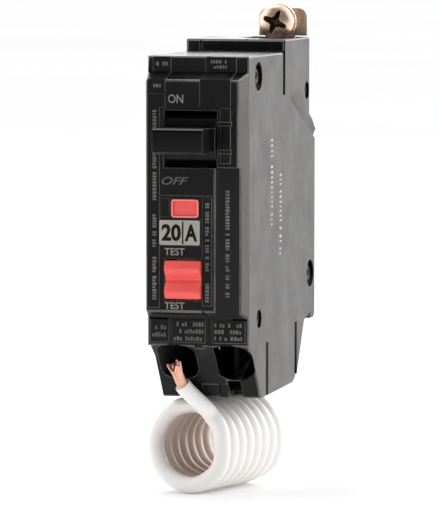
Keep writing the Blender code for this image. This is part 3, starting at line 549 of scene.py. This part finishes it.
def bare_strands():
    """The copper strands of the bare end, a twist that comes loose towards its tip."""
    core = smooth_path([BARE_START, (-5.8, 5.85, 4.0), (-6.35, 4.6, 6.2), (-6.9, 2.9, 8.8)],
                       STRAND_STEPS)
    strands = []
    for count, out_radius, phase in ((1, 0.0, 0.0), (6, 0.55, 0.0), (12, 1.1, 0.13)):
        for k in range(count):
            lean = 0.35 * math.sin(5.1 * k + 2 * phase) if out_radius else 0.0
            short = 0 if (k * 7 + count) % 5 < 2 else 1 + (k * 5 + count) % 4
            points = []
            for i, centre in enumerate(core[: STRAND_STEPS - short + 1]):
                ahead = core[min(i + 1, STRAND_STEPS)] - core[max(i - 1, 0)]
                along = ahead.normalized()
                side = along.cross(ACROSS).normalized()
                other = along.cross(side)
                loose = max(0.0, i / STRAND_STEPS - 0.55)
                angle = 2 * math.pi * (k / count + phase + 0.55 * i / STRAND_STEPS)
                radius = out_radius * (1 + 0.5 * loose)
                split = ACROSS * (0.75 * loose * (1 if math.cos(angle) > 0 else -1))
                points.append(
                    at(centre + (side * math.cos(angle) + other * math.sin(angle)) * radius
                       + split + side * lean * loose)
                )
            strands.append(points)
    curve = wire_curve("pigtail_strands", strands, STRAND_RADIUS * MM, 2)
    return add("pigtail_strands", curve, "copper")


def make_lead():
    """The insulated lead, the sleeve on its inner end and its bare end."""
    route = lead_route()
    lead = add("pigtail", wire_curve("pigtail", [route], WIRE_RADIUS * MM, 5), "white_insulation")
    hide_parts("pigtail_coil", "pigtail_front", "pigtail_rear")
    lead_sleeve()
    bare = bare_strands()
    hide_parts("pigtail_conductor")


make_lead()

# ---------------------------------------------------------------- carried-over pieces

SAME_PLACE = 2e-6  # corners closer than this, in metres, are one
FLAT = math.radians(0.6)  # faces that meet at less than this are one

def dress_nodes():
    """Every carried-over node gets its own finish and small rounded edges."""
    slots = {s["node"]: s["material_slot"] for s in frame["record"]["subparts"]}
    widths = {"case_base": 0.3, "case_cover": 0.3, "handle": 0.4, "line_strap": 0.25,
              "test_rocker": 0.25, "rating_label": 0.08, "flag_lens": 0.08}
    for name, node in NODES.items():
        node.data.materials.clear()
        finish = slots[name]
        if name.startswith("rivet_"):
            finish = "rivet_steel"
        elif name in ("load_screw", "neutral_screw"):
            # The terminal screws get the very dark zinc colour, a painted shade for where they sit
            # deep in the openings.
            finish = "shaded_zinc"
        node.data.materials.append(MATERIALS[finish])
        node.data.shade_smooth()
        weld = node.modifiers.new("weld", "WELD")
        weld.merge_threshold = SAME_PLACE
        flat = node.modifiers.new("flat", "DECIMATE")
        flat.decimate_type = "DISSOLVE"
        flat.angle_limit = FLAT
        edge = node.modifiers.new("edge", "BEVEL")
        edge.width = widths.get(name, 0.1) * MM
        edge.segments = 2
        edge.limit_method = "ANGLE"
        edge.angle_limit = math.radians(32)
        edge.miter_outer = "MITER_ARC"
        # The rounded edges of the case halves and the handle get the lighter edge colour: a painted
        # highlight with a little wear.
        if name in ("case_base", "case_cover", "handle"):
            node.data.materials.append(MATERIALS["edge_wear_and_highlight"])
            edge.material = 1
        even = node.modifiers.new("even", "WEIGHTED_NORMAL")
        even.weight = 100
        even.thresh = 0.01


dress_nodes()

# The case's outline from the side, as (y, z), from the foot of its front backwards.
CASE_OUTLINE = [
    (0.0, 13.4), (4.1, 10.5), (11.7, 0.0), (16.5, 0.0), (43.0, 1.2), (47.5, 3.3),
    (54.6, 16.0), (56.0, 16.1), (60.3, 17.4), (60.3, 16.0), (64.0, 16.0), (65.0, 17.0),
    (65.0, 63.6), (62.4, 66.2), (59.3, 67.8), (59.3, 86.8), (35.0, 86.8), (35.0, 83.7),
    (0.0, 83.7),
]


def on_outline(y, z):
    """Whether a place is on the case's outline, seen from the side."""
    place = Vector((y, z))
    for a, b in zip(CASE_OUTLINE, CASE_OUTLINE[1:] + CASE_OUTLINE[:1]):
        a, b = Vector(a), Vector(b)
        share = max(0.0, min(1.0, (place - a).dot(b - a) / (b - a).length_squared))
        if (place - a.lerp(b, share)).length < 0.1:
            return True
    return False


SEAM_GAP = 0.15  # from the middle of the seam to the edge of either half


def edge_share(edge):
    """How much of the full rounding an edge of the case gets: all, some or none."""
    if not edge.is_manifold or not edge.is_convex or edge.calc_face_angle() < math.radians(24):
        return 0.0
    first, second = (v.co / MM + ORIGIN for v in edge.verts)
    middle, length = (first + second) / 2, (second - first).length
    if max(abs(abs(v.x - SEAM_X) - SEAM_GAP) for v in (first, second)) < 0.03 or length < 0.5:
        return 0.0
    if middle.y < -5.3:
        side = abs(middle.x) > 11.0
        end = middle.z > 77.5 or middle.z < 22.5
        return 1.0 if side or end else 0.35
    if middle.y < -0.3:
        return 1.0 if abs(middle.x) > 11.0 and length > 3.0 else 0.0
    if on_outline(middle.y, middle.z) and (abs(middle.x) > 12.0 or abs(second.x - first.x) > 3.0):
        return 1.0 if length > 1.2 else 0.5
    if abs(middle.x) > 12.0 and length > 1.0:
        return 0.35
    if middle.y < 12.0 and middle.z < 13.5 and on_outline(middle.y, middle.z):
        return 0.35
    return 0.0


def round_case(name):
    """Stands for one half of the case, with its outer edges rounded and given a lighter colour: a
    little wear and a painted highlight.
    """
    shape = bmesh.new()
    shape.from_mesh(NODES[name].data)
    bmesh.ops.remove_doubles(shape, verts=shape.verts, dist=SAME_PLACE)
    bmesh.ops.dissolve_limit(shape, angle_limit=FLAT, verts=shape.verts, edges=shape.edges)
    share = shape.edges.layers.float.new("bevel_weight_edge")
    for edge in shape.edges:
        edge[share] = edge_share(edge)
    mesh = bpy.data.meshes.new(name + "_rounded")
    shape.to_mesh(mesh)
    shape.free()
    mesh.materials.clear()
    mesh.shade_smooth()
    mesh.set_sharp_from_angle(angle=math.radians(30))
    half = add(name + "_rounded", mesh, "moulded_black")
    mesh.materials.append(MATERIALS["edge_wear_and_highlight"])
    edge = half.modifiers.new("edge", "BEVEL")
    edge.width = 0.45 * MM
    edge.segments = 3
    edge.limit_method = "WEIGHT"
    edge.use_clamp_overlap = False
    # The rounded edges get the lighter edge colour: a painted highlight with a little wear.
    edge.material = 1
    even = half.modifiers.new("even", "WEIGHTED_NORMAL")
    even.weight = 100
    even.keep_sharp = True
    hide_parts(name)


round_case("case_base")
round_case("case_cover")

# ---------------------------------------------------------------- relief on the case


def strap(shape, profile, x_low, x_high, low, high, bevel=0.0):
    """Adds a strip that follows a profile of (y, z), from one height over it to another."""
    points = [Vector(p) for p in profile]
    normals = []
    for here, there in zip(points, points[1:]):
        along = (there - here).normalized()
        normals.append(Vector((along.y, -along.x)))
    rings = []
    for i, point in enumerate(points):
        before, after = normals[max(i - 1, 0)], normals[min(i, len(normals) - 1)]
        out = (before + after).normalized()
        out /= out.dot(before)
        section = [(x_low, low), (x_low, high - bevel), (x_low + bevel, high),
                   (x_high - bevel, high), (x_high, high - bevel), (x_high, low)]
        if not bevel:
            section = [(x_low, low), (x_low, high), (x_high, high), (x_high, low)]
        rings.append([
            shape.verts.new((x, point.x + out.x * h, point.y + out.y * h)) for x, h in section
        ])
    for here, there in zip(rings, rings[1:]):
        for i in range(len(here)):
            j = (i + 1) % len(here)
            side = shape.faces.new((here[i], here[j], there[j], there[i]))
            side.material_index = 1 if bevel and i in (1, 3) else 0
    shape.faces.new(rings[0])
    shape.faces.new(list(reversed(rings[-1])))


def corners(x_low, x_high, z_low, z_high):
    """A rectangle, counter-clockwise."""
    return [(x_low, z_low), (x_high, z_low), (x_high, z_high), (x_low, z_high)]


# The step from the ledge up to the top of the nose, as (y, z).
NOSE_RISE = ((0.0, 83.5), (0.0, 79.8), (NOSE_FRONT, 78.1), (NOSE_FRONT, 75.2))


def case_relief():
    """The raised pads, borders and ribs on the front, and the tongue in the seam."""
    shape = bmesh.new()
    upper = [(44.0, 86.8), (35.0, 86.8), (35.0, 83.7), (0.0, 83.7), (0.0, 79.8),
             (NOSE_FRONT, 78.1), (NOSE_FRONT, 70.75)]
    lower = [(NOSE_FRONT, 56.85), (NOSE_FRONT, 22.0), (0.0, 20.2), (0.0, 13.4), (4.1, 10.5),
             (9.2, 3.45)]
    for profile in (upper, lower):
        strap(shape, profile, SEAM_X - 0.36, SEAM_X + 0.36, -0.9, -0.03)
    strap(shape, NOSE_RISE, -11.35, -6.75, -0.2, 0.2, 0.13)
    strap(shape, NOSE_RISE[:3] + ((NOSE_FRONT, 71.9),), 1.8, 9.6, -0.2, 0.2, 0.13)
    face, root = NOSE_FRONT - 0.2, NOSE_FRONT + 0.1
    front_plate(shape, [
        (-11.3, 23.0), (-8.1, 23.0), (-8.1, 71.4), (-6.75, 71.4), (-6.75, 74.8), (-11.3, 74.8),
    ], face, root, 0.13)
    front_plate(shape, corners(6.9, 9.6, 58.0, 71.5), face, root, 0.13)
    front_plate(shape, corners(5.25, 5.55, 22.6, 55.6), face + 0.08, root, 0.1)
    front_plate(shape, corners(2.5, 4.95, 23.6, 49.8), face, root, 0.13)
    front_plate(shape, corners(-9.2, 5.3, 50.1, 50.35), face, root, 0.08)
    front_plate(shape, corners(-8.0, -5.7, 45.0, 49.6), face, root, 0.08)
    for z in (60.9, 67.6):
        front_plate(shape, corners(6.5, 9.9, z - 0.5, z + 0.5), face - 0.15, face + 0.1, 0.13)
    front_plate(shape, corners(-8.6, 12.3, 83.95, 86.5), 34.7, 35.1, 0.2)
    front_plate(shape, corners(-12.2, -9.1, 83.95, 86.5), 34.7, 35.1, 0.2)
    for x_low, x_high in ((-12.0, -7.2), (-6.6, 1.9), (3.6, 11.9)):
        front_plate(shape, corners(x_low, x_high, 14.2, 19.8), -0.2, 0.1, 0.13)
    relief = add("case_relief", finish_mesh("case_relief", shape), "moulded_black")
    # Slot 1, on the bevels of the pads and ribs, is the lighter edge colour: a painted highlight
    # with a little wear.
    relief.data.materials.append(MATERIALS["edge_wear_and_highlight"])


def label_and_window():
    """The rim and split of the rating label, and the rim of the flag window."""
    label, window = (-3.15, 41.25), (-1.8, 47.1)
    shape = bmesh.new()
    front_frame(shape, rounded(5.0, 2.95, 0.3, 3, label), rounded(4.8, 2.75, 0.15, 3, label),
                -5.66, -5.3)
    add("label_rim", finish_mesh("label_rim", shape), "mark_white")
    shape = bmesh.new()
    front_plate(shape, corners(-2.5, -2.15, 38.45, 44.05), -5.67, -5.3, 0.03)
    add("label_split", finish_mesh("label_split", shape), "moulded_black")
    shape = bmesh.new()
    front_frame(shape, rounded(3.4, 2.2, 0.75, 5, window), rounded(3.02, 1.82, 0.45, 5, window),
                -5.72, -5.2)
    add("window_rim", finish_mesh("window_rim", shape), "window_pink")


def lettering(name, text, box, y, finish, shear=0.0, bold=0.01):
    """Plain letters, a few hundredths of a millimetre thick, fitted into a box of the front."""
    curve = bpy.data.curves.new(name, "FONT")
    curve.body = text
    curve.shear = shear
    curve.extrude = 0.02
    curve.offset = bold
    curve.resolution_u = 4
    drawn = bpy.data.objects.new(name + "_drawn", curve)
    bpy.context.scene.collection.objects.link(drawn)
    view = bpy.context.evaluated_depsgraph_get()
    mesh = bpy.data.meshes.new_from_object(drawn.evaluated_get(view))
    bpy.data.objects.remove(drawn)
    across = [v.co.x for v in mesh.vertices]
    tall = [v.co.y for v in mesh.vertices]
    x_low, x_high, z_low, z_high = box
    for v in mesh.vertices:
        u = (v.co.x - min(across)) / (max(across) - min(across))
        w = (v.co.y - min(tall)) / (max(tall) - min(tall))
        v.co = at(x_low + u * (x_high - x_low), y - v.co.z, z_low + w * (z_high - z_low))
    mesh.name = name
    mesh.materials.clear()
    return add(name, mesh, finish)


def print_rows(shape, box, y, rows, upright=False, seed=1.0, gap=0.22):
    """Adds rows of short printed bars in place of words. A draw from 0 to 1, the same each
    time, makes some bars wider, some shorter and some a gap.
    """
    x_low, x_high, z_low, z_high = box
    if upright:
        low, high, base, top = z_low, z_high, x_low, x_high
    else:
        low, high, base, top = x_low, x_high, z_low, z_high
    step = (top - base) / rows
    for row in range(rows):
        v_low = base + step * (row + 0.2)
        v_high = base + step * (row + 0.8)
        place, k = low, 0
        while place < high - 0.4:
            k += 1
            draw = math.sin(12.9898 * k + 78.233 * row + seed) * 43758.5453
            draw -= math.floor(draw)
            if draw > 0.82:
                place += 0.7
                continue
            wide = 0.35 + 0.4 * draw
            end = v_high - (v_high - v_low) * (0.25 if 0.3 < draw < 0.45 else 0.0)
            run = (place, min(place + wide, high), v_low, end)
            if upright:
                run = (run[2], run[3], run[0], run[1])
            front_plate(shape, corners(*run), y - 0.03, y + 0.05, 0.01)
            place += wide + gap


def front_marks():
    """ON, OFF, TEST and the rating, and bars where the object has small print."""
    face = NOSE_FRONT - 0.02
    lettering("mark_on", "ON", (-6.1, -2.3, 72.5, 74.6), face, "mark_grey")
    lettering("mark_off", "OFF", (-7.7, -1.0, 52.8, 54.7), face, "mark_dim", 0.3)
    for name, low, high in (("upper", 35.75, 37.5), ("lower", 22.75, 24.4)):
        lettering("mark_test_" + name, "TEST", (-6.9, -1.9, low, high), face, "mark_grey")
    for name, text, low, high in (("rating", "20", -7.6, -2.8), ("unit", "A", -1.8, 1.3)):
        lettering("mark_" + name, text, (low, high, 39.2, 43.3), -5.63, "handle_black",
                  bold=0.035)
    shape = bmesh.new()
    raised = face - 0.2
    print_rows(shape, (-10.2, -8.6, 49.0, 71.0), raised, 1, True, 1.0)
    print_rows(shape, (-10.2, -8.6, 25.0, 46.0), raised, 1, True, 2.0)
    print_rows(shape, (-10.4, -7.8, 76.0, 77.4), raised, 1, False, 3.0)
    print_rows(shape, (3.0, 4.6, 24.5, 48.6), raised, 1, True, 4.0)
    print_rows(shape, (7.6, 9.3, 25.0, 53.0), -4.02, 1, True, 5.0)
    print_rows(shape, (-10.5, -7.6, 81.0, 82.6), -0.22, 1, False, 6.0)
    print_rows(shape, (3.2, 7.6, 80.5, 83.0), -0.22, 2, False, 7.0)
    print_rows(shape, (-6.0, 1.4, 14.4, 19.6), -0.22, 3, False, 8.0)
    print_rows(shape, (4.2, 11.2, 14.6, 19.4), -0.22, 3, False, 9.0)
    print_rows(shape, (-11.4, -7.8, 15.2, 18.8), -0.22, 2, False, 10.0)
    add("small_print", finish_mesh("small_print", shape), "mark_dim")
    shape = bmesh.new()
    print_rows(shape, (20.6, 23.4, 41.0, 64.0), 0.0, 1, True, 11.0, 0.7)
    print_rows(shape, (29.0, 31.8, 34.0, 55.0), 0.0, 1, True, 12.0, 0.7)
    shape.transform(Matrix.Translation((SIDE_X, 0.0, 0.0)) @ Matrix.Rotation(math.pi / 2, 4, "Z"))
    add("side_print", finish_mesh("side_print", shape), "mark_side")


case_relief()
label_and_window()
front_marks()

# ---------------------------------------------------------------- the line screw

SCREW_START = Vector((6.2, 49.0, 90.6))
SCREW_LENGTH, THREAD_START, THREAD_PITCH = 9.9, 2.6, 0.794
THREAD_ROOT, THREAD_CREST = 1.86, 2.24
WASHER_START = Vector((6.2, 51.7, 90.6))


def cut_from(mesh, cutter):
    """Takes one closed mesh out of another."""
    scene = bpy.context.scene
    target = bpy.data.objects.new("cut_target", mesh)
    tool = bpy.data.objects.new("cut_tool", cutter)
    for thing in (target, tool):
        scene.collection.objects.link(thing)
    cut = target.modifiers.new("cut", "BOOLEAN")
    cut.object = tool
    cut.operation = "DIFFERENCE"
    cut.solver = "EXACT"
    view = bpy.context.evaluated_depsgraph_get()
    made = bpy.data.meshes.new_from_object(target.evaluated_get(view))
    for thing in (target, tool):
        bpy.data.objects.remove(thing)
    return made


def cross_recess():
    """The tool that cuts a worn cross recess, turned a little from upright."""
    arm_corners = ((-30, 1.5), (-15, 2.5), (-7, 3.3), (7, 3.3), (15, 2.5), (30, 1.5))
    shape = bmesh.new()
    rings = []
    for reach, scale in ((-0.6, 1.12), (0.55, 0.92), (2.0, 0.42)):
        ring = []
        for arm in range(4):
            for turn, radius in arm_corners:
                angle = math.radians(68 + 90 * arm + turn)
                out = ACROSS * math.cos(angle) + UP * math.sin(angle)
                ring.append(shape.verts.new(SCREW_START + BACK * reach + out * radius * scale))
        rings.append(ring)
    for here, there in zip(rings, rings[1:]):
        for i in range(len(here)):
            j = (i + 1) % len(here)
            shape.faces.new((here[i], here[j], there[j], there[i]))
    shape.faces.new(rings[0])
    shape.faces.new(list(reversed(rings[-1])))
    return finish_mesh("recess", shape)


def line_screw():
    """A domed head with a worn cross recess, and a threaded shank."""
    profile = [(0.0, 0.02), (1.4, 0.06), (2.5, 0.2), (3.3, 0.45), (3.9, 0.8), (4.25, 1.2),
               (4.4, 1.6), (4.4, 2.2), (4.25, 2.38), (2.3, 2.4)]
    reach = THREAD_START
    while reach < SCREW_LENGTH - 0.3:
        profile += [(THREAD_ROOT, reach), (THREAD_CREST, reach + 0.36), (THREAD_CREST, reach + 0.43)]
        reach += THREAD_PITCH
    profile += [(1.5, SCREW_LENGTH), (0.0, SCREW_LENGTH)]
    shape = bmesh.new()
    turned(shape, profile, SCREW_START, BACK, 64)
    body = finish_mesh("line_screw_body", shape, 32)
    mesh = cut_from(body, cross_recess())
    mesh.name = "line_screw_head"
    mesh.materials.clear()
    for face in mesh.polygons:
        place = face.center / MM + ORIGIN - SCREW_START
        if 0.5 < place.y < 2.2 and math.hypot(place.x, place.z) < 3.1:
            face.material_index = 1
    mesh.shade_smooth()
    mesh.set_sharp_from_angle(angle=math.radians(32))
    screw = add("line_screw_head", mesh, "screw_head", "line_screw")
    mesh.materials.append(MATERIALS["screw_recess"])
    edge = screw.modifiers.new("edge", "BEVEL")
    edge.width = 0.07 * MM
    edge.segments = 2
    edge.limit_method = "ANGLE"
    edge.angle_limit = math.radians(35)
    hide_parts("line_screw")


def split_washer():
    """A spring washer: a square wire, cut once and sprung a little apart."""
    outline = ((2.5, 0.13), (4.0, 0.13), (4.1, 0.2), (4.1, 0.72), (4.0, 0.79), (2.5, 0.79))
    shape = bmesh.new()
    count, sections = 72, []
    for i in range(count + 1):
        angle = math.radians(40 + 352 * i / count)
        out = ACROSS * math.cos(angle) + UP * math.sin(angle)
        lift = 0.22 * (i / count - 0.5)
        sections.append([
            shape.verts.new(WASHER_START + out * r + BACK * (y + lift)) for r, y in outline
        ])
    for here, there in zip(sections, sections[1:]):
        for i in range(len(outline)):
            j = (i + 1) % len(outline)
            shape.faces.new((here[i], here[j], there[j], there[i]))
    shape.faces.new(sections[0])
    shape.faces.new(list(reversed(sections[-1])))
    washer = add("split_washer", finish_mesh("split_washer", shape), "bright_steel",
                 "line_washers")
    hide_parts("line_lock_washer")


def contact_braid():
    """The braid from the moving contact's arm down to the bimetal's foot, in twisted strands."""
    sides, strands, steps = 8, 7, 48
    core = smooth_path([
        (-3.6, 43.0, 61.5), (-3.6, 43.4, 58.6), (-3.8, 46.6, 55.9), (-4.4, 50.2, 55.8),
        (-4.6, 52.0, 54.9), (-4.6, 52.1, 53.6),
    ], steps)
    shape = bmesh.new()
    for k in range(strands):
        rings, side = [], ACROSS
        for i, centre in enumerate(core):
            along = (core[min(i + 1, steps)] - core[max(i - 1, 0)]).normalized()
            side = (side - along * side.dot(along)).normalized()
            other = along.cross(side)
            turn = 2 * math.pi * (k / (strands - 1) + 2 * i / steps)
            off = 0.0 if k == strands - 1 else 0.56
            middle = centre + (side * math.cos(turn) + other * math.sin(turn)) * off
            rings.append([
                shape.verts.new(middle + 0.29 * (
                    side * math.cos(2 * math.pi * j / sides)
                    + other * math.sin(2 * math.pi * j / sides)
                )) for j in range(sides)
            ])
        for here, there in zip(rings, rings[1:]):
            for j in range(sides):
                nxt = (j + 1) % sides
                shape.faces.new((here[j], here[nxt], there[nxt], there[j]))
        shape.faces.new(rings[0])
        shape.faces.new(list(reversed(rings[-1])))
    braid = add("contact_braid", finish_mesh("contact_braid", shape, 60), "copper", None)
    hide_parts("flexible_braid")
    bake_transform(braid)


line_screw()
split_washer()
contact_braid()

# ---------------------------------------------------------------- studio


def lobe(tree, towards, start, end, low, high):
    """A value of the sky that goes from low to high as the view turns towards a direction."""
    place = tree.nodes.new("ShaderNodeTexCoord")
    dot = tree.nodes.new("ShaderNodeVectorMath")
    dot.operation = "DOT_PRODUCT"
    dot.inputs[1].default_value = Vector(towards).normalized()
    tree.links.new(place.outputs["Generated"], dot.inputs[0])
    remap = tree.nodes.new("ShaderNodeMapRange")
    remap.interpolation_type = "SMOOTHSTEP"
    remap.inputs["From Min"].default_value = start
    remap.inputs["From Max"].default_value = end
    remap.inputs["To Min"].default_value = low
    remap.inputs["To Max"].default_value = high
    tree.links.new(dot.outputs["Value"], remap.inputs["Value"])
    return remap.outputs["Result"]


def make_world():
    """A white studio that is dark in front of the breaker and bright behind its right side."""
    world = bpy.data.worlds.new("studio")
    bpy.context.scene.world = world
    world.use_nodes = True
    tree = world.node_tree
    background = tree.nodes["Background"]
    background.inputs["Color"].default_value = (1.0, 1.0, 1.0, 1.0)
    total = tree.nodes.new("ShaderNodeMath")
    white = 1.05
    front = lobe(tree, (-0.13, -0.98, 0.06), 0.34, 0.74, white, 0.12)
    behind = lobe(tree, (0.42, 0.90, 0.12), 0.6, 0.93, 0.0, 2.0)
    tree.links.new(front, total.inputs[0])
    tree.links.new(behind, total.inputs[1])
    seen = tree.nodes.new("ShaderNodeLightPath")
    mix = tree.nodes.new("ShaderNodeMix")
    tree.links.new(seen.outputs["Is Camera Ray"], mix.inputs["Factor"])
    tree.links.new(total.outputs["Value"], mix.inputs["A"])
    mix.inputs["B"].default_value = white
    tree.links.new(mix.outputs["Result"], background.inputs["Strength"])


def make_floor():
    """A plain pale floor just under the coil."""
    floor = bpy.data.meshes.new("floor")
    half, low = 30, at(0, 0, COIL_FRONT.z - COIL_RADIUS - WIRE_RADIUS - 0.02).z
    floor.from_pydata(
        [(-half, -half, low), (half, -half, low), (half, half, low), (-half, half, low)],
        [], [(0, 1, 2, 3)],
    )
    n = Nodes("floor")
    n.link(
        n.ramp(n.noise(400.0, 2.0), [(0.3, (0.84, 0.84, 0.84)), (0.7, (0.86, 0.86, 0.86))]),
        n.shader.inputs["Base Color"],
    )
    n.set(Roughness=0.9, Emission_Strength=0.09, IOR=1.0, Specular_IOR_Level=0.0)
    n.shader.inputs["Emission Color"].default_value = (1.0, 1.0, 1.0, 1.0)
    floor.materials.append(n.material)
    sheet = bpy.data.objects.new("floor", floor)
    bpy.context.scene.collection.objects.link(sheet)


def make_lights():
    """Large soft lights, all turned to the middle of the case."""
    for name, where, size, power in (
        ("overhead", (-0.30, 0.12, 0.70), 0.5, 2.5),
        ("side", (0.75, 0.60, 0.20), 0.5, 2.4),
        ("left", (-0.80, -0.42, 0.20), 0.9, 3.2),
        ("right", (0.85, -0.30, 0.30), 0.8, 0.8),
    ):
        data = bpy.data.lights.new(name, "AREA")
        data.shape = "SQUARE"
        data.size = size
        data.energy = power
        light = bpy.data.objects.new(name, data)
        bpy.context.scene.collection.objects.link(light)
        light.location = Vector(where)
        aim = at(0, 20, 40) - light.location
        light.rotation_euler = aim.to_track_quat("-Z", "Y").to_euler()


bpy.context.scene.view_settings.view_transform = "Standard"
make_world()
make_floor()
make_lights()
